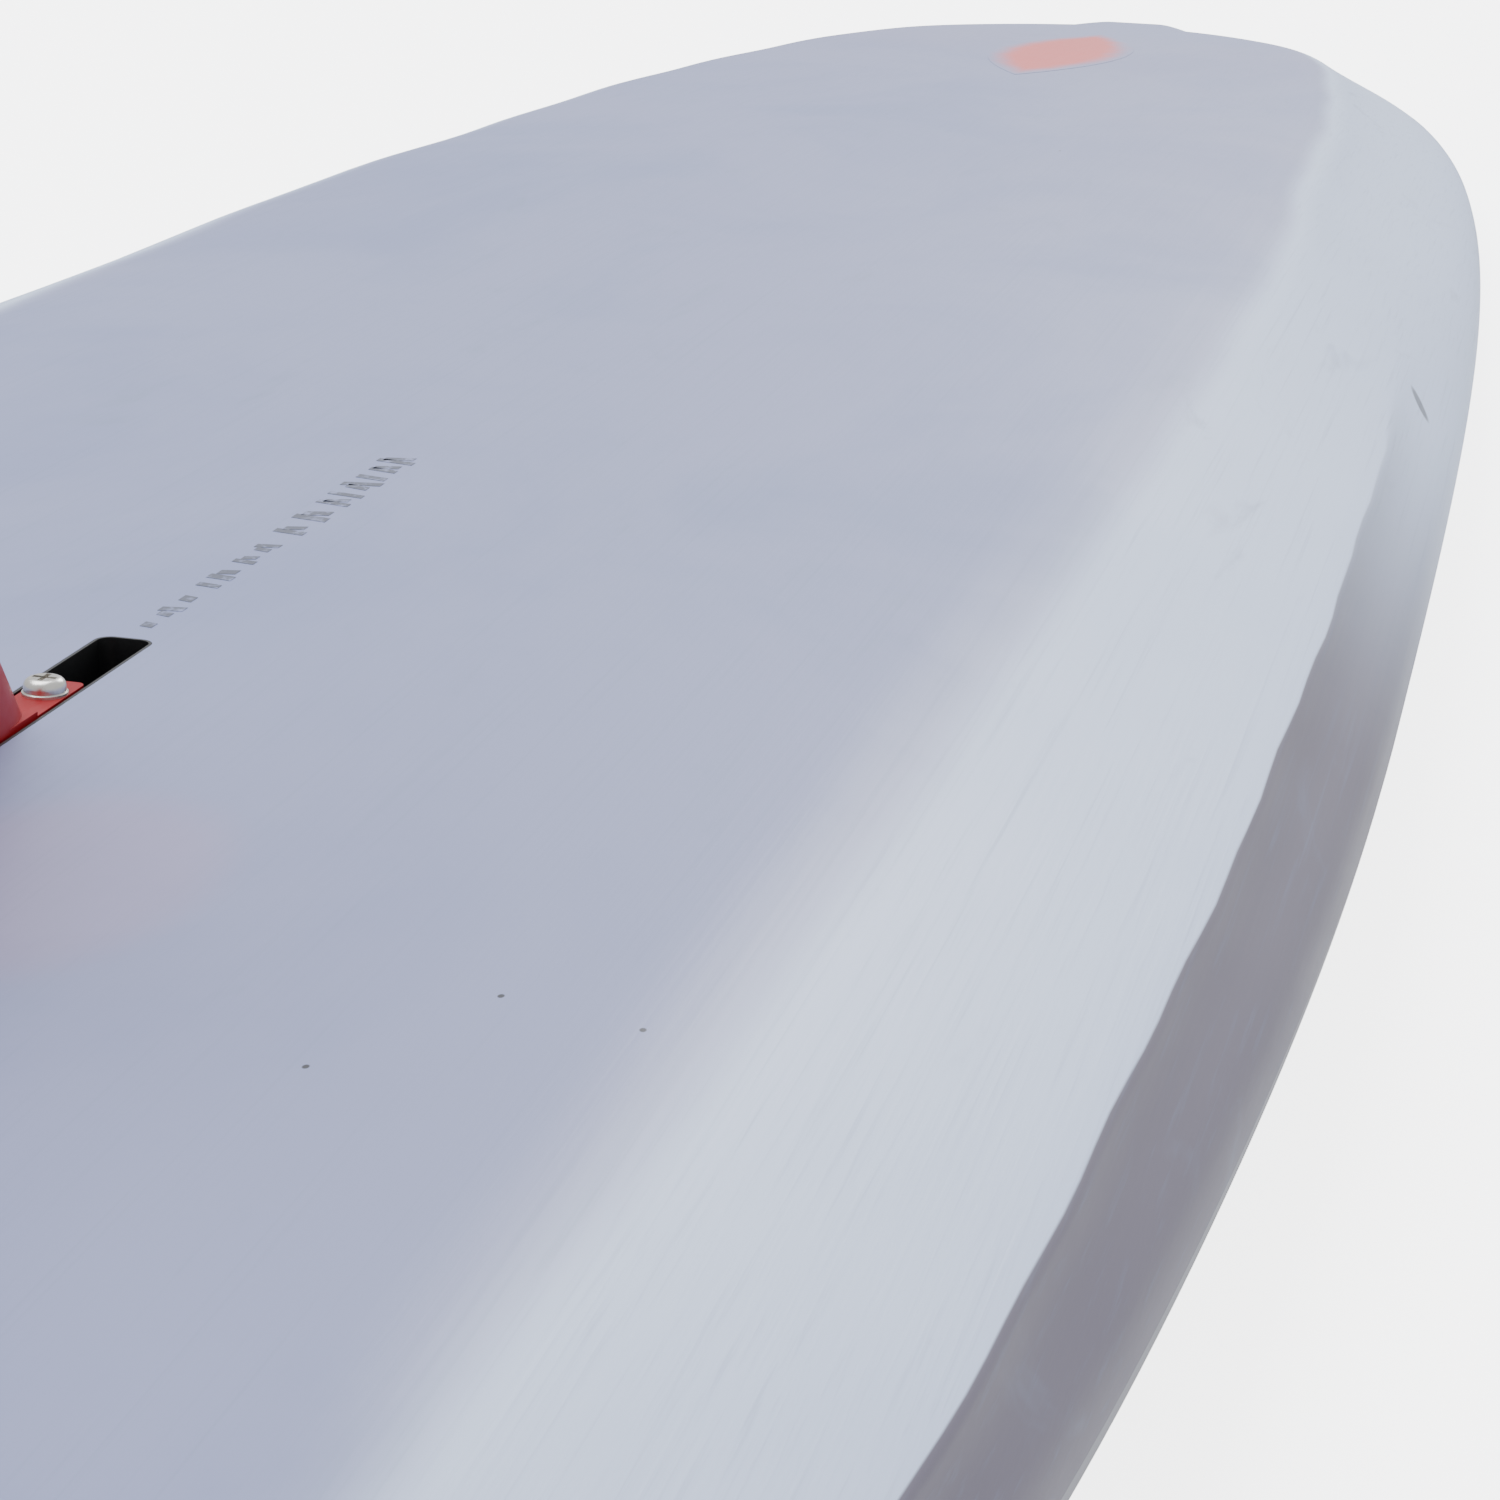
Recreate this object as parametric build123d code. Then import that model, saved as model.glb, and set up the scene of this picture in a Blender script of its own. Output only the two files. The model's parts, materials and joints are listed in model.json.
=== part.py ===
from build123d import *
import os

# A finned board that rides on water, modelled bottom-up, lying on its deck.
# Frame: X runs from tail to nose, Y is across, Z is up out of the planing bottom.
# Origin: middle of the bounding box in plan, at the lowest point. Sizes are in millimetres.

# ---- Driving dimensions ----
NOSE_FROM_SLOT = 1363.0      # nose tip ahead of the fin slot's nose-side end
TAIL_FROM_SLOT = 430.0       # tail tip behind the same slot end
HALF_WIDTH = 225.5           # at the widest point of the rail
WIDE_FROM_SLOT = 148.0       # widest point, ahead of the slot end
TAIL_TAPER = 0.142           # how fast the outline narrows behind the widest point
TAIL_CLOSE = (9.0, 3.0)      # power and root that round the tail's corners
RAIL_CURVE = (2.63, 3.03)    # power and root of the outline ahead of the widest point
HARD_EDGE = 209.8            # half width at the sharp edge under the bevel
HARD_EDGE_RUN = (200.0, 819.0)   # widest place and imagined end, ahead of the slot
HARD_EDGE_CURVE = (3.03, 2.66)
HARD_EDGE_LIMITS = (0.83, 0.985)     # shares of the rail's half width
HARD_EDGE_FADE = (310.0, 520.0)  # where the sharp edge melts into the round nose, ahead of the slot
FLAT_HALF_WIDTH = 156.5
FLAT_RUN = (633.0, 1311.0)
FLAT_CURVE = (2.72, 2.40)
FLAT_TAPER = 0.016
FLAT_LIMITS = (0.3, 0.85)    # shares of the hard edge's half width
DECK_FLAT = 0.55             # flat middle of the deck, as a share of the rail's half width
THICKNESS = 70.0
APEX_SHARE = 0.56            # outermost line of the rail, as a share of the depth from bottom to deck
BEVEL_DROP = 21.2
NOSE_ROCKER = 27.0
TAIL_ROCKER = 10.0
TAIL_DECK_RISE = 22.0
SKIN = 2.0                   # bottom and deck skins
STRINGER = 4.0               # wooden stringer between the core halves
PAD = 5.0                    # grip pads on the deck

# Fin box: a channel with an undercut groove in each wall
SLOT_WIDTH = 10.0
SLOT_LENGTH = 254.0
SLOT_CORNER = 2.5
SLOT_DEPTH = 26.0
BOX_LENGTH = 273.0
BOX_WIDTH = 27.0
BOX_DEPTH = 31.0
GROOVE_TOP = 10.0            # depth of the groove's upper face
GROOVE_HEIGHT = 5.0
GROOVE_UNDERCUT = 3.2
GROOVE_END = 6.0             # plain wall left at each end of the slot
ENTRY_LENGTH = 17.0          # notch that lets the plate down into the grooves

# Fin
TONGUE_FROM_SLOT_END = 28.5  # front of the fin's tongue, at rest
TONGUE_LENGTH = 20.5
TONGUE_THICKNESS = 5.0
SCREW_FROM_TONGUE = 8.0
FIN_BASE_LENGTH = 160.0
FIN_TAB_WIDTH = 8.6
FIN_HEIGHT = 178.0
FIN_SWEEP = (118.0, 50.0)    # leading edge at the tip behind the base: straight part, curved part
FIN_HOLLOW = (62.0, 100.0)   # trailing edge: forward of the base, then back towards the tip
FIN_THICKNESS = (8.6, 2.0)   # at the base and at the tip
FIN_TRAILING_EDGE = 0.7
FIN_SECTIONS = 9
PIN_RADIUS = 2.0
PIN_FROM_REAR = 12.0
PIN_LENGTH = 15.8
PLATE = (14.0, 15.8, 3.6)
SCREW_RADIUS = 1.95
SCREW_LENGTH = 17.0
SCREW_HEAD_RADIUS = 3.8
SCREW_HEAD_HEIGHT = 2.4
CROSS = (4.4, 1.0)           # length and width of each slot of the cross recess
WASHER = (4.1, 2.2, 0.6)     # outer radius, inner radius, thickness

# Deck fittings
LEASH_X_FROM_TAIL = 62.0
LEASH_CUP = (14.0, 11.5, 19.0)   # outer radius, inner radius, depth
LEASH_BAR_RADIUS = 2.0
VENT_X = 330.0
VENT_BODY = (9.0, 16.0)      # radius and depth of the vent's insert
VENT_HEAD = (5.5, 2.2)       # radius and height of the vent screw's head
VENT_SHANK = (3.0, 9.0)
O_RING = (3.9, 0.75)         # middle radius and section radius

# Marks in the bottom skin: along from the slot end, length, width
EMBLEM_FROM_SLOT = 1100.0
EMBLEM = (250.0, 58.0)
MARK_BARS = (
    (8, 5, 3.5), (16, 9, 5.0), (27, 6, 4.0), (38, 4, 5.0), (44, 10, 5.5), (57, 8, 5.0), (67, 8, 5.0),
    (82, 9, 7.0), (94, 11, 8.0), (108, 12, 9.0), (123, 14, 9.0), (140, 17, 9.0),
)

# Grip pads on the deck
TAIL_PAD = (-740.0, -510.0)
FRONT_PAD = (-120.0, 240.0)
PAD_HALF_WIDTH = 104.0
PAD_CENTRE = 46.0
PAD_GAP = 3.0
KICK = (42.0, 11.0)          # length and height of the kick behind the tail pad

# Dense foam round the fin box: length, width, depth from the bottom surface
BLOCK = (300.0, 62.0, 42.0)

# ---- Places along X and Z ----
LENGTH = NOSE_FROM_SLOT + TAIL_FROM_SLOT
X_NOSE = LENGTH / 2
X_TAIL = -LENGTH / 2
X_SLOT = X_NOSE - NOSE_FROM_SLOT
X_WIDE = X_SLOT + WIDE_FROM_SLOT
X_BOX = X_SLOT - SLOT_LENGTH / 2
X_LEASH = X_TAIL + LEASH_X_FROM_TAIL
X_NOSE_ROCKER = X_SLOT + NOSE_FROM_SLOT * 0.25
X_TAIL_ROCKER = X_BOX - BOX_LENGTH / 2
X_DECK_RISE = X_TAIL + 290.0
Z_DECK = PAD
Z_BOTTOM = PAD + THICKNESS
PIN_Z = Z_BOTTOM - GROOVE_TOP - GROOVE_HEIGHT / 2
FAR = 3000.0                 # larger than the whole board
TIP_ROUND = 14.0             # radius of the rounded nose and tail edges
TIP_FACET = 0.5              # the loft ends this far short of each tip
BLEND = 30.0                 # power of the smooth maximum and minimum
RIM = 0.6                    # wall of the fin box that shows round its slot
GLUE = 0.2                   # glue line between a let-in piece and the skin over it


def soft_max(a, b):
    """Larger of two lengths, with a smooth change from one to the other."""
    return (a**BLEND + b**BLEND) ** (1 / BLEND)


def soft_min(a, b):
    """Smaller of two lengths, with a smooth change from one to the other."""
    return (a**-BLEND + b**-BLEND) ** (-1 / BLEND)


def superellipse(share, power, root):
    """Width share at a share of the way from the widest point to a tip."""
    return max(0.0, 1 - share**power) ** (1 / root)


def outline(x, widest, x_wide, x_end, power, root, taper):
    """Half width of a line that is widest at x_wide, rounded ahead and tapered behind."""
    if x > x_wide:
        return widest * superellipse((x - x_wide) / (x_end - x_wide), power, root)
    return widest - taper * (x_wide - x) ** 2 / 1000


def rail_half_width(x):
    """Half width of the plan outline, tail to nose."""
    tail = superellipse(max(0.0, X_WIDE - x) / (X_WIDE - X_TAIL), *TAIL_CLOSE)
    return tail * outline(x, HALF_WIDTH, X_WIDE, X_NOSE, *RAIL_CURVE, TAIL_TAPER)


def hard_edge_half_width(x):
    """Half width at the sharp edge between the bevel and the rail."""
    rail = rail_half_width(x)
    widest, end = (X_SLOT + along for along in HARD_EDGE_RUN)
    edge = outline(x, HARD_EDGE, widest, end, *HARD_EDGE_CURVE, 0.4 * TAIL_TAPER)
    inner, outer = HARD_EDGE_LIMITS
    return soft_min(soft_max(edge, inner * rail), outer * rail)


def flat_half_width(x):
    """Half width of the flat of the bottom, inside the bevels."""
    edge = hard_edge_half_width(x)
    widest, end = (X_SLOT + along for along in FLAT_RUN)
    flat = outline(x, FLAT_HALF_WIDTH, widest, end, *FLAT_CURVE, FLAT_TAPER)
    inner, outer = FLAT_LIMITS
    return soft_min(soft_max(flat, inner * edge), outer * edge)


def bottom_height(x):
    """Height of the flat of the bottom, with nose and tail rocker."""
    if x > X_NOSE_ROCKER:
        return Z_BOTTOM - NOSE_ROCKER * ((x - X_NOSE_ROCKER) / (X_NOSE - X_NOSE_ROCKER)) ** 2.2
    if x < X_TAIL_ROCKER:
        return Z_BOTTOM - TAIL_ROCKER * ((X_TAIL_ROCKER - x) / (X_TAIL_ROCKER - X_TAIL)) ** 2
    return Z_BOTTOM


def deck_height(x):
    """Height of the deck's flat middle, which is the board's underside here."""
    if x < X_DECK_RISE:
        return Z_DECK + TAIL_DECK_RISE * ((X_DECK_RISE - x) / (X_DECK_RISE - X_TAIL)) ** 2
    return Z_DECK


def tip_closure(x):
    """Share of the full section height left at x, which rounds the two tips."""
    room = min(X_NOSE - x, x - X_TAIL)
    if room >= TIP_ROUND:
        return 1.0
    return (1 - (1 - room / TIP_ROUND) ** 2) ** 0.5


def apex_height(x):
    """Height of the rail's outermost line."""
    return bottom_height(x) - APEX_SHARE * (bottom_height(x) - deck_height(x))


def between(a, b, share):
    """Point at a share of the way from a to b."""
    return tuple(first + (second - first) * share for first, second in zip(a, b))


def halves(points):
    """Control points of the two halves of a cubic curve."""
    a, b, c, d = points
    ab, bc, cd = between(a, b, 0.5), between(b, c, 0.5), between(c, d, 0.5)
    abc, bcd = between(ab, bc, 0.5), between(bc, cd, 0.5)
    middle = between(abc, bcd, 0.5)
    return (a, ab, abc, middle), (middle, bcd, cd, d)


def fade_share(x):
    """0 where the hard edge is sharp, rising smoothly to 1 where it is gone."""
    start, end = (X_SLOT + along for along in HARD_EDGE_FADE)
    share = min(1.0, max(0.0, (x - start) / (end - start)))
    return share * share * (3 - 2 * share)


def nose_share(x):
    """0 along the tail and middle, rising to 1 at the nose."""
    start = X_SLOT + NOSE_FROM_SLOT * 0.35
    return min(1.0, max(0.0, (x - start) / (X_NOSE - start)))


def board_section(x, inset):
    """Closed section of the board at x, moved inward by inset."""
    rail = rail_half_width(x) - inset
    edge = hard_edge_half_width(x) - 0.8 * inset
    flat = flat_half_width(x) - 0.3 * inset
    deck_flat = DECK_FLAT * rail_half_width(x)
    height = bottom_height(x) - deck_height(x)
    apex = apex_height(x)
    closure = tip_closure(x)
    top = apex + (bottom_height(x) - apex) * closure - inset
    bottom = apex + (deck_height(x) - apex) * closure + inset
    edge_z = top - BEVEL_DROP * min(1.0, height / THICKNESS + 0.05) * closure
    soft = nose_share(x)
    steep = (edge_z - apex) * 0.5
    lean = (rail - edge) * (0.35 + 0.25 * soft)
    drop = steep * (1.0 - 0.8 * soft)
    crease, hard, widest = (flat, top), (edge, edge_z), (rail, apex)
    sharp = (
        (crease, between(crease, hard, 1 / 3), between(crease, hard, 2 / 3), hard),
        (hard, (edge + lean, edge_z - drop), (rail, apex + steep), widest),
    )
    roll = halves((crease, between(crease, hard, 0.8), (rail, apex + 1.1 * steep), widest))
    fade = fade_share(x)
    right = [
        Bezier(*(between(a, b, fade) for a, b in zip(sharp_half, roll_half)))
        for sharp_half, roll_half in zip(sharp, roll)
    ]
    right += [
        Bezier(
            (rail, apex),
            (rail, apex + (bottom - apex) * 0.6),
            (deck_flat + (rail - deck_flat) * 0.5, bottom),
            (deck_flat, bottom),
        ),
    ]
    left = [edge_line.mirror(Plane.YZ) for edge_line in right]
    flats = [Line((-flat, top), (flat, top)), Line((deck_flat, bottom), (-deck_flat, bottom))]
    half = LENGTH / 2
    plane = Plane(origin=(x * (half - inset) / half, 0, 0), x_dir=(0, 1, 0), z_dir=(1, 0, 0))
    return plane * make_face(Wire(flats + right + left))


def stations():
    """Places along X for the sections, closer together towards the tips."""
    nose = [X_NOSE - TIP_FACET - (X_NOSE - TIP_FACET) * (k / 18) ** 2.4 for k in range(18)]
    tail = [X_TAIL + TIP_FACET - (X_TAIL + TIP_FACET) * (k / 14) ** 2.4 for k in range(14)]
    return tail + [0.0] + nose[::-1]


def board_solid(inset):
    return loft([board_section(x, inset) for x in stations()])


def block(x0, x1, y0, y1, z0, z1):
    """Box from its lowest to its highest corner."""
    return Pos((x0 + x1) / 2, (y0 + y1) / 2, (z0 + z1) / 2) * Box(x1 - x0, y1 - y0, z1 - z0)


def rounded_block(x, y, length, width, radius, z0, z1):
    """Upright block with rounded corners in plan, centred on x and y."""
    shape = Pos(x, y, z0) * RectangleRounded(length, width, radius)
    return extrude(shape, z1 - z0)


def disc(x, y, radius, z0, z1):
    return Pos(x, y, (z0 + z1) / 2) * Cylinder(radius, z1 - z0)


def seam_body():
    """Everything on the deck side of the rail's outermost line."""
    line = [(x, apex_height(x)) for x in stations()]
    first = (X_TAIL - 50, line[0][1])
    last = (X_NOSE + 50, line[-1][1])
    low = -50.0
    seam = Polyline(first, line[0]) + Spline(*line) + Polyline(line[-1], last)
    below = Polyline(last, (last[0], low), (first[0], low), first)
    return extrude(Plane.XZ * make_face(seam + below), FAR, both=True)


def fin_slot(grow, z0, z1):
    """Upright prism of the slot's plan shape, with the notch that lets the plate in."""
    length = SLOT_LENGTH + 2 * grow
    width = SLOT_WIDTH + 2 * grow
    slot = rounded_block(X_BOX, 0, length, width, SLOT_CORNER + grow, z0, z1)
    notch_length = ENTRY_LENGTH + 2 * grow
    notch_width = width + 2 * GROOVE_UNDERCUT
    return slot + rounded_block(X_BOX, 0, notch_length, notch_width, 1 + grow, z0, z1)


def make_fin_box():
    """Channel with an undercut groove along each wall, let in under the bottom skin."""
    flange = Z_BOTTOM - SKIN - GLUE
    groove_top = Z_BOTTOM - GROOVE_TOP
    groove_floor = groove_top - GROOVE_HEIGHT
    half = SLOT_LENGTH / 2 - GROOVE_END
    side = SLOT_WIDTH / 2 + GROOVE_UNDERCUT
    body = rounded_block(X_BOX, 0, BOX_LENGTH, BOX_WIDTH, 6, Z_BOTTOM - BOX_DEPTH, flange)
    body += fin_slot(RIM, flange - 1, Z_BOTTOM)
    slot_floor = Z_BOTTOM - SLOT_DEPTH
    body -= rounded_block(X_BOX, 0, SLOT_LENGTH, SLOT_WIDTH, SLOT_CORNER, slot_floor, groove_floor)
    body -= fin_slot(0, groove_floor, Z_BOTTOM + 1)
    return body - block(X_BOX - half, X_BOX + half, -side, side, groove_floor, groove_top)


def foil(front, rear, thickness, z):
    """Foil section of a fin: round leading edge towards the nose, thin trailing edge."""
    thickest = front - 0.22 * (front - rear)
    edge = FIN_TRAILING_EDGE / 2
    side = Spline(
        (front, 0), (thickest, thickness / 2), (rear, edge),
        tangents=[(0, 1), (-1, -0.12)], tangent_scalars=[0.5, 0.6],
    )
    tail = Line((rear, edge), (rear, -edge))
    return Plane.XY.offset(z) * make_face(side + tail + mirror(side, about=Plane.XZ))


def make_fin_blade():
    """Fin in one piece with its base tab and the tongue that takes the screw."""
    tip = X_SLOT - TONGUE_FROM_SLOT_END
    front = tip - TONGUE_LENGTH
    rear = tip - FIN_BASE_LENGTH
    half = FIN_TAB_WIDTH / 2
    overlap = 8.0
    tongue = rounded_block(
        (tip + front - overlap) / 2, 0, TONGUE_LENGTH + overlap, FIN_TAB_WIDTH, 1.6,
        Z_BOTTOM - TONGUE_THICKNESS, Z_BOTTOM,
    )
    tab = block(rear, front, -half, half, Z_BOTTOM - GROOVE_TOP + 1.5, Z_BOTTOM + 0.8)
    pin_tab = block(
        rear + 2, rear + 2 * PIN_FROM_REAR, -half, half, Z_BOTTOM - 17.5, Z_BOTTOM - GROOVE_TOP + 2,
    )
    sections = []
    for step in range(FIN_SECTIONS):
        share = step / (FIN_SECTIONS - 1)
        lead = front - FIN_SWEEP[0] * share - FIN_SWEEP[1] * share**3
        trail = rear + FIN_HOLLOW[0] * share - FIN_HOLLOW[1] * share**2
        thickness = FIN_THICKNESS[1] + (FIN_THICKNESS[0] - FIN_THICKNESS[1]) * (1 - share) ** 0.8
        sections.append(foil(lead, trail, thickness, Z_BOTTOM + FIN_HEIGHT * share))
    blade = tongue + tab + pin_tab + loft(sections)
    screw_x = tip - SCREW_FROM_TONGUE
    blade -= disc(screw_x, 0, SCREW_RADIUS + 0.3, Z_BOTTOM - 10, Z_BOTTOM + 1)
    pin_x = rear + PIN_FROM_REAR
    pin_hole = Pos(pin_x, 0, PIN_Z) * Rot(90, 0, 0) * Cylinder(PIN_RADIUS, 40)
    return blade - pin_hole


def make_fin_fastening():
    """Cross pin, threaded plate, washer and screw that hold the fin in its box."""
    tip = X_SLOT - TONGUE_FROM_SLOT_END
    screw_x = tip - SCREW_FROM_TONGUE
    pin_x = tip - FIN_BASE_LENGTH + PIN_FROM_REAR
    pin = Pos(pin_x, 0, PIN_Z) * Rot(90, 0, 0) * Cylinder(PIN_RADIUS, PIN_LENGTH)
    pin = chamfer(pin.edges(), 0.4)
    plate_top = Z_BOTTOM - GROOVE_TOP - 0.2
    plate = rounded_block(screw_x, 0, PLATE[0], PLATE[1], 0.8, plate_top - PLATE[2], plate_top)
    plate -= disc(screw_x, 0, SCREW_RADIUS + 0.04, plate_top - 9, plate_top + 1)
    seat = Z_BOTTOM + WASHER[2]
    washer = disc(screw_x, 0, WASHER[0], Z_BOTTOM, seat)
    washer -= disc(screw_x, 0, WASHER[1], Z_BOTTOM - 1, seat + 1)
    washer = chamfer(washer.edges().group_by(Axis.Z)[-1], 0.15)
    return pin, plate, washer, cross_screw(screw_x, seat)


def cross_screw(x, seat):
    """Pan-head screw with a cross recess. Its head stands on the seat."""
    head = disc(0, 0, SCREW_HEAD_RADIUS, 0, SCREW_HEAD_HEIGHT)
    head = fillet(head.edges().group_by(Axis.Z)[-1], 1.6)
    recess = SCREW_HEAD_HEIGHT - 1.5
    for length, width in (CROSS, CROSS[::-1]):
        head -= Pos(0, 0, SCREW_HEAD_HEIGHT) * Box(length, width, 2 * recess)
    shank = disc(0, 0, SCREW_RADIUS, -SCREW_LENGTH, 0)
    shank = chamfer(shank.edges().group_by(Axis.Z)[0], 0.5)
    return Pos(x, 0, seat) * (head + shank)


def leash_pocket():
    """Round hole in the deck that the leash cup fills."""
    return disc(X_LEASH, 0, LEASH_CUP[0], -20, deck_height(X_LEASH + LEASH_CUP[0]) + LEASH_CUP[2])


def make_leash_plug(board):
    """Cup let into the deck with a steel bar across it for the leash string."""
    base = deck_height(X_LEASH + LEASH_CUP[0])
    x = X_LEASH
    cup = leash_pocket() & board
    cup -= disc(x, 0, LEASH_CUP[1], -20, base + LEASH_CUP[2] - 3)
    bar_z = base + 8
    reach = LEASH_CUP[0] - 0.6
    bar = Pos(x, 0, bar_z) * Rot(90, 0, 0) * Cylinder(LEASH_BAR_RADIUS, 2 * reach)
    return cup - bar, bar


def make_vent():
    """Pressure vent in the deck: threaded insert, seal ring and screw."""
    seat = Z_DECK + VENT_HEAD[1] + 2 * O_RING[1] + 0.5
    roof = Z_DECK + VENT_BODY[1]
    body = disc(VENT_X, 0, VENT_BODY[0], Z_DECK, roof)
    body -= disc(VENT_X, 0, VENT_HEAD[0] + 0.6, Z_DECK - 1, seat)
    body -= disc(VENT_X, 0, VENT_SHANK[0] + 0.05, Z_DECK - 1, roof - 2.5)
    ring_z = seat - O_RING[1]
    ring = Pos(VENT_X, 0, ring_z) * Torus(O_RING[0], O_RING[1])
    head_top = seat - 2 * O_RING[1]
    head_face = head_top - VENT_HEAD[1]
    head = disc(VENT_X, 0, VENT_HEAD[0], head_face, head_top)
    head = chamfer(head.edges().group_by(Axis.Z)[0], 0.4)
    head -= block(VENT_X - 4, VENT_X + 4, -0.6, 0.6, head_face - 1, head_face + 1.1)
    shank = disc(VENT_X, 0, VENT_SHANK[0], head_top, head_top + VENT_SHANK[1])
    shank = chamfer(shank.edges().group_by(Axis.Z)[-1], 0.5)
    return body, ring, head + shank


def leaf(x, length, width):
    """Plain pointed leaf shape, lying along the board."""
    side = ThreePointArc((x - length / 2, 0), (x, width / 2), (x + length / 2, 0))
    return make_face(side + mirror(side, about=Plane.XZ))


def make_marks(skin):
    """Generic inlays in the bottom skin: a leaf near the nose and a row of bars."""
    high = Z_BOTTOM + 5
    leaf_prism = extrude(leaf(X_SLOT + EMBLEM_FROM_SLOT, *EMBLEM), high)
    bars = Part()
    for along, length, width in MARK_BARS:
        bars += block(
            X_SLOT + along, X_SLOT + along + length, -width / 2, width / 2, Z_BOTTOM - 20, high,
        )
    return skin & leaf_prism, skin & bars


def deck_slab(x0, x1, depth):
    """Solid under the deck from x0 to x1, as deep as given, following the deck's curve."""
    steps = 8
    places = [x0 + (x1 - x0) * k / steps for k in range(steps + 1)]
    line = [(x, deck_height(x) - GLUE) for x in places]
    depth -= GLUE
    if x0 >= X_DECK_RISE:
        upper = Line(line[0], line[-1])
        lower = Line((x1, line[-1][1] - depth), (x0, line[0][1] - depth))
    else:
        upper = Spline(*line)
        lower = Spline(*[(x, z - depth) for x, z in reversed(line)])
    ends = Line(line[0], (x0, line[0][1] - depth)) + Line(line[-1], (x1, line[-1][1] - depth))
    return extrude(Plane.XZ * make_face(upper + lower + ends), FAR, both=True)


def pad_piece(x0, x1, y0, y1, depth=PAD):
    """Grip pad with rounded corners, on the deck between two places along and across."""
    plan = rounded_block((x0 + x1) / 2, (y0 + y1) / 2, x1 - x0, y1 - y0, 12, -20, 60)
    return deck_slab(x0, x1, depth) & plan


def make_pads():
    """Tail pad in three pieces with a kick at the rear, and a front pad in three pieces."""
    pads = {}
    for place, (x0, x1) in (("tail", TAIL_PAD), ("front", FRONT_PAD)):
        inner = PAD_CENTRE / 2 + PAD_GAP
        for side, sign in (("left", 1), ("right", -1)):
            y0, y1 = sorted((sign * inner, sign * PAD_HALF_WIDTH))
            pads[f"{place}_pad_{side}"] = pad_piece(x0, x1, y0, y1)
        pads[f"{place}_pad_centre"] = pad_piece(x0, x1, -PAD_CENTRE / 2, PAD_CENTRE / 2)
    kick_end = TAIL_PAD[0] - PAD_GAP
    kick_start = kick_end - KICK[0]
    kick = pad_piece(kick_start, kick_end, -PAD_HALF_WIDTH, PAD_HALF_WIDTH, KICK[1])
    slope = Plane.XZ * make_face(Polyline(
        (kick_end + 1, -20), (kick_end + 1, deck_height(kick_end) - PAD),
        (kick_start + 0.35 * KICK[0], deck_height(kick_start) - KICK[1]),
        (kick_start - 1, deck_height(kick_start) - KICK[1]), (kick_start - 1, -20), (kick_end + 1, -20),
    ))
    pads["tail_pad_kick"] = kick - extrude(slope, FAR, both=True)
    return pads


def make_parts():
    outer = board_solid(0)
    inner = board_solid(SKIN)
    deck_side = seam_body()
    shell = outer - inner
    deck_skin = shell & deck_side
    bottom_skin = shell - deck_side
    bottom_skin -= fin_slot(RIM + 0.05, Z_BOTTOM - 10, Z_BOTTOM + 5)
    nose_emblem, size_marks = make_marks(bottom_skin)
    bottom_skin = bottom_skin - nose_emblem - size_marks

    above = Z_BOTTOM + 5
    box_envelope = rounded_block(X_BOX, 0, BOX_LENGTH, BOX_WIDTH, 6, Z_BOTTOM - BOX_DEPTH, above)
    block_pocket = rounded_block(X_BOX, 0, BLOCK[0], BLOCK[1], 10, Z_BOTTOM - BLOCK[2], above)
    block_envelope = rounded_block(
        X_BOX, 0, BLOCK[0], BLOCK[1], 10, Z_BOTTOM - BLOCK[2], Z_BOTTOM - SKIN - GLUE,
    )
    leash_cup, leash_bar = make_leash_plug(outer)
    vent_body, vent_ring, vent_screw = make_vent()
    leash_hole = leash_pocket()
    vent_hole = disc(VENT_X, 0, VENT_BODY[0], -20, Z_DECK + VENT_BODY[1])
    deck_skin = deck_skin - leash_hole - vent_hole

    core = board_solid(SKIN + GLUE) - block_pocket - leash_hole - vent_hole
    stringer_slab = block(-FAR, FAR, -STRINGER / 2, STRINGER / 2, -FAR, FAR)
    left_half = block(-FAR, FAR, STRINGER / 2, FAR, -FAR, FAR)
    right_half = block(-FAR, FAR, -FAR, -STRINGER / 2, -FAR, FAR)

    pin, plate, washer, screw = make_fin_fastening()
    parts = {
        "core_left": core & left_half,
        "core_right": core & right_half,
        "stringer": core & stringer_slab,
        "bottom_skin": bottom_skin,
        "deck_skin": deck_skin,
        "nose_emblem": nose_emblem,
        "size_marks": size_marks,
        "fin_box": make_fin_box(),
        "fin_box_block": block_envelope - box_envelope,
        "fin_blade": make_fin_blade(),
        "fin_cross_pin": pin,
        "fin_plate": plate,
        "fin_washer": washer,
        "fin_screw": screw,
        "leash_cup": leash_cup,
        "leash_bar": leash_bar,
        "vent_body": vent_body,
        "vent_o_ring": vent_ring,
        "vent_screw": vent_screw,
    }
    parts.update(make_pads())
    return parts


os.makedirs("parts", exist_ok=True)
for node, solid in make_parts().items():
    export_step(solid, f"parts/{node}.step")
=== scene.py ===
import json
import math

import bmesh
import bpy
import numpy as np
from mathutils import Matrix, Vector


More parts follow.
